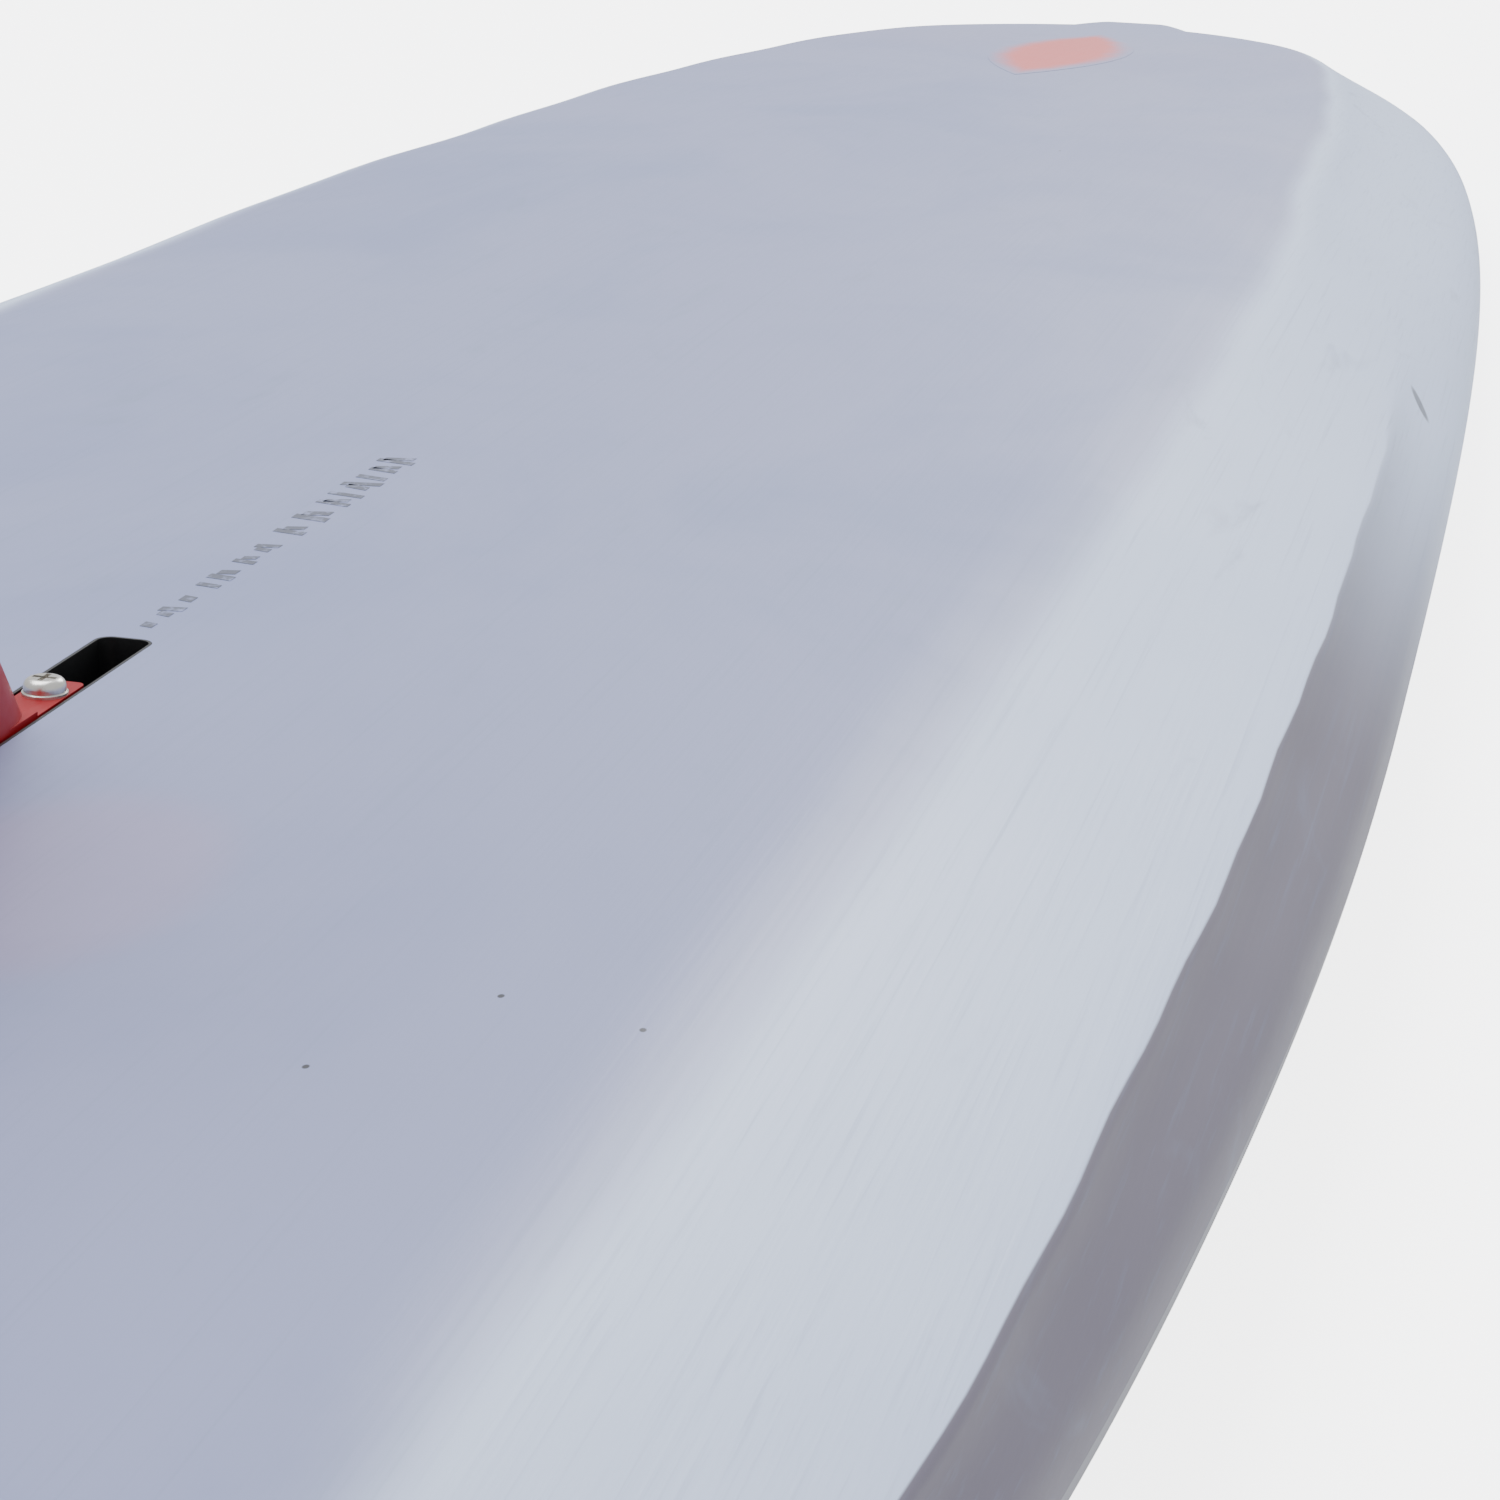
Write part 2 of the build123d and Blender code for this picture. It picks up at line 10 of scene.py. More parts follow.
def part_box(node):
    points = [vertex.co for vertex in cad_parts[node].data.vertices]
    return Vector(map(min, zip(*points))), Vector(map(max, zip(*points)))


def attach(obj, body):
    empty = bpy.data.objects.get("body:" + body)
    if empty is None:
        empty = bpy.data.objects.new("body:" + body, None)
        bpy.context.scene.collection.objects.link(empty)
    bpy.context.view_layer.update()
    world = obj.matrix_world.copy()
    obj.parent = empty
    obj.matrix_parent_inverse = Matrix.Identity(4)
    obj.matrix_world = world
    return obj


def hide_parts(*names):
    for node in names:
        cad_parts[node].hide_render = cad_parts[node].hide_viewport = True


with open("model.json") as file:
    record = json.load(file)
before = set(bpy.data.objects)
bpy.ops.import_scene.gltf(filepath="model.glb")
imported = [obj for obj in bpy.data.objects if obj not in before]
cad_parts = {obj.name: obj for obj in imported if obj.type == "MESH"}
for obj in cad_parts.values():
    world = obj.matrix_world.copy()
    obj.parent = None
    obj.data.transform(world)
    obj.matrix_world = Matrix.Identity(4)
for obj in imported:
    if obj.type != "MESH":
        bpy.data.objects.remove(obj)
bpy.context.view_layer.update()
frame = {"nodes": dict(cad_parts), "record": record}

# ---- Board shape, in millimetres, as the CAD model has it ----
# The slot is the fin channel; lengths along the board start at its nose-side end unless stated.
MM = 0.001
NOSE_FROM_SLOT = 1363.0
TAIL_FROM_SLOT = 430.0
HALF_WIDTH = 225.5
WIDE_FROM_SLOT = 148.0
TAIL_TAPER = 0.142           # half width lost behind the widest place, x 1000 / mm squared
TAIL_CLOSE = (9.0, 3.0)
RAIL_CURVE = (2.63, 3.03)
HARD_EDGE = 209.8
HARD_EDGE_RUN = (200.0, 819.0)
HARD_EDGE_CURVE = (3.03, 2.66)
HARD_EDGE_TAPER = 0.4 * TAIL_TAPER
HARD_EDGE_LIMITS = (0.83, 0.985)     # least and greatest share of the rail's half width
HARD_EDGE_FADE = (310.0, 520.0)      # where the hard edge softens into the rolled rail
FLAT_HALF_WIDTH = 156.5
FLAT_RUN = (633.0, 1311.0)
FLAT_CURVE = (2.72, 2.40)
FLAT_TAPER = 0.016
FLAT_LIMITS = (0.3, 0.85)            # least and greatest share of the hard edge's half width
DECK_FLAT = 0.55
THICKNESS = 70.0
APEX_SHARE = 0.56
BEVEL_DROP = 21.2
NOSE_ROCKER = 27.0
NOSE_ROCKER_POWER = 2.2
NOSE_ROCKER_START = 0.25     # share of the way from the slot to the nose
TAIL_ROCKER = 10.0
TAIL_DECK_RISE = 22.0
DECK_RISE_RUN = 290.0        # from the tail
PAD = 5.0
TIP_ROUND = 14.0
TIP_FACET = 0.5              # the CAD model's tips are cut off by this much
BLEND = 30.0                 # power of the soft limits
SOFT_RAIL_START = 0.35       # share of the way from the slot to the nose
DECK_TURN = 0.6              # share of the rail's lower half where the deck starts to turn in
SLOT_LENGTH = 254.0
BOX_LENGTH = 273.0

LENGTH = NOSE_FROM_SLOT + TAIL_FROM_SLOT
X_NOSE = LENGTH / 2
X_TAIL = -LENGTH / 2
X_SLOT = X_NOSE - NOSE_FROM_SLOT
X_WIDE = X_SLOT + WIDE_FROM_SLOT
X_BOX = X_SLOT - SLOT_LENGTH / 2
X_NOSE_ROCKER = X_SLOT + NOSE_FROM_SLOT * NOSE_ROCKER_START
X_TAIL_ROCKER = X_BOX - BOX_LENGTH / 2
X_DECK_RISE = X_TAIL + DECK_RISE_RUN
Z_DECK = PAD
Z_BOTTOM = PAD + THICKNESS

# ---- Finish of the shells ----
SHELL = 1.8                  # wall of the visible shells
CREASE_ROUND = 13.0          # half width of the soft crease beside the flat
EDGE_ROUND = 1.3             # half width of the sanded round on the hard edge
EDGE_ROUND_ROLLED = 3.0      # added to that where the edge has faded
EDGE_LIMIT = 0.992           # the hard edge stays within this share of the rail's half width
CREASE_LIMIT = 0.9           # and the crease within this share of the hard edge's
# Height of the sum, and lengths, of the slow waves that hand sanding left.
EDGE_WAVES = (0.5, (173.0, 61.0))
CREASE_WAVES = (1.4, (310.0, 127.0))
DROP_WAVES = (0.25, (211.0, 83.0))
WAVE_PHASE = 1.7
# Mesh points along each run of half a section, and sections from the middle to each tip.
SECTION = {"flat": 16, "crease": 10, "bevel": 8, "edge": 6, "side": 12, "deck": 16, "under": 8}
CURVE_STEPS = 41
NOSE_STATIONS, TAIL_STATIONS = 110, 90
STATION_POWER = 2.2          # crowds the sections towards the tips
# Openings in the shells, a little wider than the fittings.
SLOT_OPENING = (127.65, 5.65, 3.15)      # half length, half width, corner radius
SLOT_CORNER_STEPS = 8
NOTCH_OPENING = (9.15, 8.85)             # half length, half width
SLOT_CUT = (-6.0, 6.0)                   # reach of the cutters below and above the surface
HOLE_CUT = (-6.0, 8.0)
LEASH_HOLE = (X_TAIL + 62.0, 14.05)      # place along the board, radius
VENT_HOLE = (330.0, 9.05)
# Angles in degrees above which an edge between faces is sharp.
SHELL_CORNER, NODE_CORNER, PRINT_CORNER, PAD_CORNER_ANGLE = 32, 30, 30, 50
WELD = 2e-6                  # metres

# ---- Camera, from the slot's nose-side end on the bottom surface ----
CAMERA_FROM_SLOT = Vector((-0.59603, -0.25915, 0.18851))
YAW, PITCH, ROLL = 0.231, 0.312, 0.032
LENS = 86.4
SENSOR_WIDTH = 36.0
CLIP_START = 0.01

# ---- Studio ----
FLOOR = 60000.0              # half width of the floor
FLOOR_HEIGHT = -0.5
FLOOR_GLOW = 4.0             # keeps the floor near white in the picture, without lighting the board
WORLD_COLOR = (0.96, 0.98, 1.0, 1)
WORLD_STRENGTH = 0.88
# name, place, target, size, watts and colour of each light, in metres
LIGHTS = (
    ("over", (0.1, 0.9, 2.6), (0.1, 0, 0), (2.6, 1.8), 84, (0.93, 0.96, 1.0)),
    ("front_softbox", (3.4, -0.35, 2.3), (0.2, -0.1, 0.05), (1.6, 1.3), 66, (0.92, 0.95, 1.0)),
)


# ======== Shape of the board ========
def soft_max(a, b):
    return (a**BLEND + b**BLEND) ** (1 / BLEND)


def soft_min(a, b):
    return (a**-BLEND + b**-BLEND) ** (-1 / BLEND)


def superellipse(share, power, root):
    return np.clip(1 - share**power, 0, None) ** (1 / root)


def outline(x, widest, x_wide, x_end, power, root, taper):
    """Half width of a line that is widest at x_wide, rounded ahead and tapered behind."""
    ahead = widest * superellipse(np.clip(x - x_wide, 0, None) / (x_end - x_wide), power, root)
    behind = widest - taper * (x_wide - x) ** 2 / 1000
    return np.where(x > x_wide, ahead, behind)


def rail_half_width(x):
    tail = superellipse(np.clip(X_WIDE - x, 0, None) / (X_WIDE - X_TAIL), *TAIL_CLOSE)
    return tail * outline(x, HALF_WIDTH, X_WIDE, X_NOSE, *RAIL_CURVE, TAIL_TAPER)


def hard_edge_half_width(x):
    rail = rail_half_width(x)
    widest, end = (X_SLOT + along for along in HARD_EDGE_RUN)
    edge = outline(x, HARD_EDGE, widest, end, *HARD_EDGE_CURVE, HARD_EDGE_TAPER)
    inner, outer = HARD_EDGE_LIMITS
    return soft_min(soft_max(edge, inner * rail), outer * rail)


def flat_half_width(x):
    edge = hard_edge_half_width(x)
    widest, end = (X_SLOT + along for along in FLAT_RUN)
    flat = outline(x, FLAT_HALF_WIDTH, widest, end, *FLAT_CURVE, FLAT_TAPER)
    inner, outer = FLAT_LIMITS
    return soft_min(soft_max(flat, inner * edge), outer * edge)


def bottom_height(x):
    nose = np.clip((x - X_NOSE_ROCKER) / (X_NOSE - X_NOSE_ROCKER), 0, None) ** NOSE_ROCKER_POWER
    tail = np.clip((X_TAIL_ROCKER - x) / (X_TAIL_ROCKER - X_TAIL), 0, None) ** 2
    return Z_BOTTOM - NOSE_ROCKER * nose - TAIL_ROCKER * tail


def deck_height(x):
    rise = np.clip((X_DECK_RISE - x) / (X_DECK_RISE - X_TAIL), 0, None) ** 2
    return Z_DECK + TAIL_DECK_RISE * rise


def waves(x, height, lengths):
    """Sum of slow waves along the board, for surfaces that were sanded by hand."""
    total = np.zeros_like(x)
    for order, length in enumerate(lengths):
        total = total + np.sin(2 * math.pi * x / length + WAVE_PHASE * order)
    return height * total / len(lengths)


def bezier(points, steps):
    """Points along a Bezier curve, one column for each step."""
    t = np.linspace(0, 1, steps)[:, None]
    if len(points) == 3:
        a, b, c = points
        return (1 - t) ** 2 * a + 2 * t * (1 - t) * b + t**2 * c
    a, b, c, d = points
    return (1 - t) ** 3 * a + 3 * t * (1 - t) ** 2 * b + 3 * t**2 * (1 - t) * c + t**3 * d


def between(a, b, share):
    return a + (b - a) * share


def halves(points):
    """Control points of the two halves of a cubic curve."""
    a, b, c, d = points
    ab, bc, cd = between(a, b, 0.5), between(b, c, 0.5), between(c, d, 0.5)
    abc, bcd = between(ab, bc, 0.5), between(bc, cd, 0.5)
    middle = between(abc, bcd, 0.5)
    return (a, ab, abc, middle), (middle, bcd, cd, d)


def clamped(share):
    return min(1.0, max(0.0, share))


def ease(value, start, end):
    """0 before start, 1 past end, with a smooth rise between."""
    share = clamped((value - start) / (end - start))
    return share * share * (3 - 2 * share)


def fade_share(x):
    """0 where the hard edge is sharp, rising smoothly to 1 where it is gone."""
    return ease(x, *(X_SLOT + ahead for ahead in HARD_EDGE_FADE))


def along(a, b, distance):
    """Point at a distance from a towards b."""
    span = np.linalg.norm(b - a)
    return a + (b - a) * min(0.45, distance / span)


def trimmed(line, first, last, count):
    """The line resampled to count points, with lengths taken off its two ends."""
    steps = np.linalg.norm(np.diff(line, axis=0), axis=1)
    travel = np.concatenate([[0.0], np.cumsum(steps)])
    first = min(first, 0.4 * travel[-1])
    last = min(last, 0.4 * travel[-1])
    places = np.linspace(first, travel[-1] - last, count)
    return np.stack([np.interp(places, travel, line[:, k]) for k in (0, 1)], axis=1)


def bevel_and_side(x, crease, hard, widest, half_rise):
    """The bevel, the side of the rail, and the corner where the two meet.

    half_rise is half the height of the hard edge over the rail's outermost line.
    """
    rail, apex = widest
    edge, edge_z = hard
    start = X_SLOT + NOSE_FROM_SLOT * SOFT_RAIL_START
    soft = clamped((x - start) / (X_NOSE - start))
    lean = (rail - edge) * (0.35 + 0.25 * soft)
    side_drop = half_rise * (1.0 - 0.8 * soft)
    rail_top = np.array((rail, apex + half_rise))
    sharp = (
        (crease, between(crease, hard, 1 / 3), between(crease, hard, 2 / 3), hard),
        (hard, np.array((edge + lean, edge_z - side_drop)), rail_top, widest),
    )
    rolled_top = np.array((rail, apex + 1.1 * half_rise))
    rolled = halves((crease, between(crease, hard, 0.8), rolled_top, widest))
    fade = fade_share(x)
    bevel, side = (
        bezier([between(a, b, fade) for a, b in zip(sharp_half, rolled_half)], CURVE_STEPS)
        for sharp_half, rolled_half in zip(sharp, rolled)
    )
    return bevel, side, between(sharp[1][0], rolled[1][0], fade)


def bottom_half(x, crease, hard, widest, half_rise):
    """Bottom half of a section, from the middle out to the rail, with its corners rounded."""
    bevel, side, corner = bevel_and_side(x, crease, hard, widest, half_rise)
    middle = np.array((0.0, crease[1]))
    room = 0.3 * np.linalg.norm(bevel[-1] - crease)
    crease_round = min(CREASE_ROUND, 0.3 * crease[0], room)
    edge_round = min(EDGE_ROUND + EDGE_ROUND_ROLLED * fade_share(x), room + 0.01)
    crease_in = along(crease, middle, crease_round)
    bevel = trimmed(bevel, crease_round, edge_round, SECTION["bevel"])
    side = trimmed(side, edge_round, 0.0, SECTION["side"])
    return np.concatenate([
        np.linspace(middle, crease_in, SECTION["flat"], endpoint=False),
        bezier((crease_in, crease, bevel[0]), SECTION["crease"])[:-1],
        bevel[:-1],
        bezier((bevel[-1], corner, side[0]), SECTION["edge"])[:-1],
        side,
    ])


def deck_half(widest, low):
    """Deck half of a section, from the rail in to the middle."""
    rail, apex = widest
    deck_flat = DECK_FLAT * rail
    deck_edge = np.array((deck_flat, low))
    turn = np.array((rail, between(apex, low, DECK_TURN)))
    flatten = np.array((between(deck_flat, rail, 0.5), low))
    return np.concatenate([
        bezier((widest, turn, flatten, deck_edge), SECTION["deck"])[:-1],
        np.linspace(deck_edge, np.array((0.0, low)), SECTION["under"]),
    ])


def half_section(x):
    """Right half of the section at x: the bottom half from the middle out, then the deck half."""
    place = np.array(x)
    rail = float(rail_half_width(place))
    edge = float(hard_edge_half_width(place)) + float(waves(place, *EDGE_WAVES))
    edge = min(edge, EDGE_LIMIT * rail)
    flat = float(flat_half_width(place)) + float(waves(place, *CREASE_WAVES))
    flat = min(flat, CREASE_LIMIT * edge)
    top_full = float(bottom_height(place))
    low_full = float(deck_height(place))
    apex = top_full - APEX_SHARE * (top_full - low_full)
    room = max(0.0, min(X_NOSE - x, x - X_TAIL))
    closure = 1.0 if room >= TIP_ROUND else (1 - (1 - room / TIP_ROUND) ** 2) ** 0.5
    top = between(apex, top_full, closure)
    low = between(apex, low_full, closure)
    drop = BEVEL_DROP * min(1.0, (top_full - low_full) / THICKNESS + 0.05) * closure
    edge_z = top - drop + float(waves(place, *DROP_WAVES))

    crease, hard, widest = (np.array(p) for p in ((flat, top), (edge, edge_z), (rail, apex)))
    upper = bottom_half(x, crease, hard, widest, (edge_z - apex) * 0.5)
    lower = deck_half(widest, low)
    if room <= 0:
        upper[:, 1] = apex
        lower[:, 1] = apex
    return upper, lower


def stations():
    """Places along X for the sections, closer together towards the tips."""
    nose = [X_NOSE * (1 - (k / NOSE_STATIONS) ** STATION_POWER) for k in range(NOSE_STATIONS + 1)]
    tail = [X_TAIL * (1 - (k / TAIL_STATIONS) ** STATION_POWER) for k in range(TAIL_STATIONS)]
    return tail + nose[::-1]


# ======== Mesh helpers ========
def new_object(name, points, faces, smooth=True):
    """Mesh object from points in millimetres."""
    mesh = bpy.data.meshes.new(name)
    mesh.from_pydata([tuple(MM * c for c in point) for point in points], [], faces)
    mesh.validate()
    mesh.update()
    piece = bpy.data.objects.new(name, mesh)
    bpy.context.scene.collection.objects.link(piece)
    if smooth:
        mesh.shade_smooth()
    return piece


def grid_faces(rows, columns, start=0):
    return [
        (start + i * columns + j, start + (i + 1) * columns + j,
         start + (i + 1) * columns + j + 1, start + i * columns + j + 1)
        for i in range(rows - 1) for j in range(columns - 1)
    ]


def apply_modifiers(piece):
    """Replaces the mesh by the one its modifiers make."""
    bpy.context.view_layer.update()
    graph = bpy.context.evaluated_depsgraph_get()
    made = bpy.data.meshes.new_from_object(piece.evaluated_get(graph))
    piece.modifiers.clear()
    piece.data = made
    return piece


def outward(piece):
    """Joins doubled points and turns every face outward."""
    work = bmesh.new()
    work.from_mesh(piece.data)
    bmesh.ops.remove_doubles(work, verts=work.verts, dist=WELD)
    bmesh.ops.recalc_face_normals(work, faces=work.faces)
    work.to_mesh(piece.data)
    work.free()
    return piece


def prism(name, plan, low, high):
    """Upright prism from a plan outline, in millimetres."""
    count = len(plan)
    points = [(x, y, low) for x, y in plan] + [(x, y, high) for x, y in plan]
    faces = [tuple(range(count))[::-1], tuple(range(count, 2 * count))]
    faces += [(k, (k + 1) % count, count + (k + 1) % count, count + k) for k in range(count)]
    return outward(new_object(name, points, faces, smooth=False))


def cut(piece, cutter):
    """Takes the cutter out of the piece and deletes it."""
    modifier = piece.modifiers.new("cut", "BOOLEAN")
    modifier.operation = "DIFFERENCE"
    modifier.solver = "EXACT"
    modifier.object = cutter
    apply_modifiers(piece)
    bpy.data.objects.remove(cutter)
    return piece


def shade(piece, degrees):
    """Smooth shading with sharp edges where faces meet at more than the angle."""
    mesh = piece.data
    mesh.shade_smooth()
    mesh.set_sharp_from_angle(angle=math.radians(degrees))
    return piece


def circle(x, radius, steps=64):
    angles = [2 * math.pi * k / steps for k in range(steps)]
    return [(x + radius * math.cos(a), radius * math.sin(a)) for a in angles]


def slot_plan():
    """Plan of the opening round the fin channel, with its entry notch."""
    half, width, radius = SLOT_OPENING
    notch, notch_width = NOTCH_OPENING
    quarter = []
    for k in range(SLOT_CORNER_STEPS + 1):
        angle = math.pi / 2 * k / SLOT_CORNER_STEPS
        x = half - radius + radius * math.cos(angle)
        y = width - radius + radius * math.sin(angle)
        quarter.append((x, y))
    quarter += [(notch, width), (notch, notch_width)]
    left = quarter + [(-x, y) for x, y in reversed(quarter)]
    right = [(-x, -y) for x, y in left]
    return [(X_BOX + x, y) for x, y in left + right]


# ======== Shells ========
def mirrored(points):
    """The points with Y turned round, in the other order and without the middle one."""
    return [(-y, z) for y, z in points[::-1]]


def shell(name, rows, facing):
    """Wall along the rows of points, grown inward. Its middle faces up for 1 and down for -1."""
    points = [point for row in rows for point in row]
    piece = outward(new_object(name, points, grid_faces(len(rows), len(rows[0]))))
    middle = piece.data.polygons[len(piece.data.polygons) // 2]
    if middle.normal.z * facing < 0:
        piece.data.flip_normals()
    wall = piece.modifiers.new("wall", "SOLIDIFY")
    wall.thickness = SHELL * MM
    wall.offset = -1
    return apply_modifiers(piece)


def make_shells():
    """Bottom and deck shells, meeting along the rail's outermost line."""
    upper_rows, lower_rows = [], []
    fit = (X_NOSE - TIP_FACET) / X_NOSE
    for x in stations():
        upper, lower = half_section(x)
        for rows, ring in (
            (upper_rows, mirrored(upper[1:]) + list(upper)),
            (lower_rows, list(lower) + mirrored(lower[:-1])),
        ):
            rows.append([(x * fit, y, z) for y, z in ring])
    bottom = shell("bottom_shell", upper_rows, 1)
    deck = shell("deck_shell", lower_rows, -1)
    cut(bottom, prism("slot_cutter", slot_plan(), *(Z_BOTTOM + reach for reach in SLOT_CUT)))
    for x, radius in (LEASH_HOLE, VENT_HOLE):
        low = float(deck_height(np.array(x)))
        cut(deck, prism("hole_cutter", circle(x, radius), *(low + reach for reach in HOLE_CUT)))
    for piece in (bottom, deck):
        shade(piece, SHELL_CORNER)
    return bottom, deck


# ======== Materials ========
class Finish:
    """A material with a few shorthand calls for its nodes."""

    def __init__(self, name):
        self.material = bpy.data.materials.new(name)
        self.material.use_nodes = True
        self.tree = self.material.node_tree
        self.shader = self.tree.nodes["Principled BSDF"]
        self.place = self.tree.nodes.new("ShaderNodeTexCoord").outputs["Object"]

    def constant(self, **values):
        for name, value in values.items():
            self.shader.inputs[name.replace("_", " ")].default_value = value

    def link(self, source, target):
        self.tree.links.new(source, target)

    def stretched(self, scale, turn=0.0):
        node = self.tree.nodes.new("ShaderNodeMapping")
        node.inputs["Scale"].default_value = scale
        node.inputs["Rotation"].default_value = (0, 0, turn)
        self.link(self.place, node.inputs["Vector"])
        return node.outputs["Vector"]

    def noise(self, scale, detail=4.0, rough=0.55, turn=0.0, distort=0.0):
        node = self.tree.nodes.new("ShaderNodeTexNoise")
        node.inputs["Scale"].default_value = 1.0
        node.inputs["Detail"].default_value = detail
        node.inputs["Roughness"].default_value = rough
        node.inputs["Distortion"].default_value = distort
        self.link(self.stretched(scale, turn), node.inputs["Vector"])
        return node.outputs["Fac"]

    def math(self, operation, a, b=0.0):
        node = self.tree.nodes.new("ShaderNodeMath")
        node.operation = operation
        for socket, value in zip(node.inputs, (a, b)):
            if isinstance(value, (int, float)):
                socket.default_value = value
            else:
                self.link(value, socket)
        return node.outputs[0]

    def ramp(self, value, low, high, to_low=0.0, to_high=1.0):
        """Smooth step of a value from low to high."""
        node = self.tree.nodes.new("ShaderNodeMapRange")
        node.interpolation_type = "SMOOTHSTEP"
        limits = {"From Min": low, "From Max": high, "To Min": to_low, "To Max": to_high}
        for name, number in limits.items():
            node.inputs[name].default_value = number
        self.link(value, node.inputs["Value"])
        return node.outputs["Result"]

    def times(self, a, b):
        return self.math("MULTIPLY", a, b)

    def scaled(self, value, factor, base):
        """The value times a factor, plus a base."""
        return self.math("ADD", self.times(value, factor), base)

    def mix(self, factor, a, b):
        node = self.tree.nodes.new("ShaderNodeMix")
        node.data_type = "RGBA"
        if isinstance(factor, (int, float)):
            node.inputs[0].default_value = factor
        else:
            self.link(factor, node.inputs[0])
        for socket, value in zip((node.inputs[6], node.inputs[7]), (a, b)):
            if isinstance(value, tuple):
                socket.default_value = (*value, 1)
            else:
                self.link(value, socket)
        return node.outputs[2]

    def over(self, color, mask, strength, tint):
        """The colour with a tint laid over it where the mask is 1."""
        return self.mix(self.times(mask, strength), color, tint)

    def parts(self):
        """X, Y and Z of the place on the board, in metres."""
        node = self.tree.nodes.new("ShaderNodeSeparateXYZ")
        self.link(self.place, node.inputs[0])
        return node.outputs

    def spot(self, centre, radii, turn=0.0):
        """1 in an ellipse of the given radii (metres) and 0 outside it, with a soft edge."""
        x, y, _ = self.parts()
        dx = self.math("SUBTRACT", x, centre[0])
        dy = self.math("SUBTRACT", y, centre[1])
        c, s = math.cos(turn), math.sin(turn)
        u = self.math("ADD", self.times(dx, c / radii[0]), self.times(dy, s / radii[0]))
        v = self.math("SUBTRACT", self.times(dy, c / radii[1]), self.times(dx, s / radii[1]))
        square = self.math("ADD", self.times(u, u), self.times(v, v))
        return self.ramp(square, 0.35, 1.0, 1.0, 0.0)

    def bump(self, height, distance, strength=1.0):
        node = self.tree.nodes.new("ShaderNodeBump")
        node.inputs["Strength"].default_value = strength
        node.inputs["Distance"].default_value = distance
        self.link(height, node.inputs["Height"])
        self.link(node.outputs["Normal"], self.shader.inputs["Normal"])

    def color(self, socket):
        self.link(socket, self.shader.inputs["Base Color"])

    def roughness(self, socket):
        self.link(socket, self.shader.inputs["Roughness"])


# Board paint, as linear colours, and how strongly each layer covers the ones below it.
PAINT = (0.295, 0.322, 0.53)
PAINT_SHADE = (0.195, 0.235, 0.43)
PAINT_WARM = (0.335, 0.31, 0.47)
# Painted highlight: the paler blue-grey that the bevels take from the bright light above, laid on
# by slope.
PAINTED_BEVEL_HIGHLIGHT = (0.64, 0.75, 1.0)
# Painted shade: the dark warm grey of the rails, which face away from the light, laid on by slope.
PAINTED_RAIL_SHADE = (0.122, 0.100, 0.135)
PAINT_DECK = (0.60, 0.61, 0.64)
SCUFF = (0.20, 0.25, 0.38)
COVER = {"clouds": 0.5, "warm": 0.30, "bevel": 0.88, "rail": 0.95, "smears": 0.40, "streaks": 0.22}
DECK_COVER = 0.35
# Range of the surface's upward normal over which the painted highlight on the bevels and the
# painted shade on the rails fade in.
BEVEL_SLOPE = (0.93, 0.99)
RAIL_SLOPE = (0.86, 0.915)
RAIL_SHADE_FADE = (80.0, 440.0)      # where the rail's painted shade fades out, ahead of the slot
BOARD_ROUGHNESS = 0.36
# Small marks on the bottom: places and radii in metres.
SPECKS = ((-0.614, -0.119), (-0.619, -0.141), (-0.646, -0.102), (0.242, -0.061))
SPECK_RADII, SPECK_COLOR = (0.0009, 0.0006), (0.03, 0.03, 0.04)
# A thin dark streak on the bevel, close to the rail's hard edge.
DARK_STREAK, DARK_STREAK_RADII, DARK_STREAK_TURN = (-0.040, -0.211), (0.017, 0.0013), 0.23
DARK_STREAK_COVER, DARK_STREAK_COLOR = 0.75, (0.06, 0.06, 0.07)
# Faint red light that the fin throws on the board beside it.
FIN_GLOW, FIN_GLOW_RADII = (X_SLOT * MM - 0.125, -0.040), (0.050, 0.030)
FIN_GLOW_COVER, FIN_GLOW_COLOR = 0.10, (0.72, 0.30, 0.34)


def painted_light_zones(finish):
    """Two masks: the painted highlight on the bevels, and the painted warm grey shade on the rails,
    which end where the hard edge does.
    """
    normal = finish.tree.nodes.new("ShaderNodeSeparateXYZ")
    source = finish.tree.nodes.new("ShaderNodeTexCoord").outputs["Normal"]
    finish.link(source, normal.inputs[0])
    upward = normal.outputs[2]
    bevel = finish.ramp(upward, *BEVEL_SLOPE, 1.0, 0.0)
    rail = finish.ramp(finish.math("ABSOLUTE", upward), *RAIL_SLOPE, 1.0, 0.0)
    start, end = ((X_SLOT + ahead) * MM for ahead in RAIL_SHADE_FADE)
    kept = finish.ramp(finish.parts()[0], start, end, 1.0, 0.0)
    return bevel, finish.times(rail, kept)


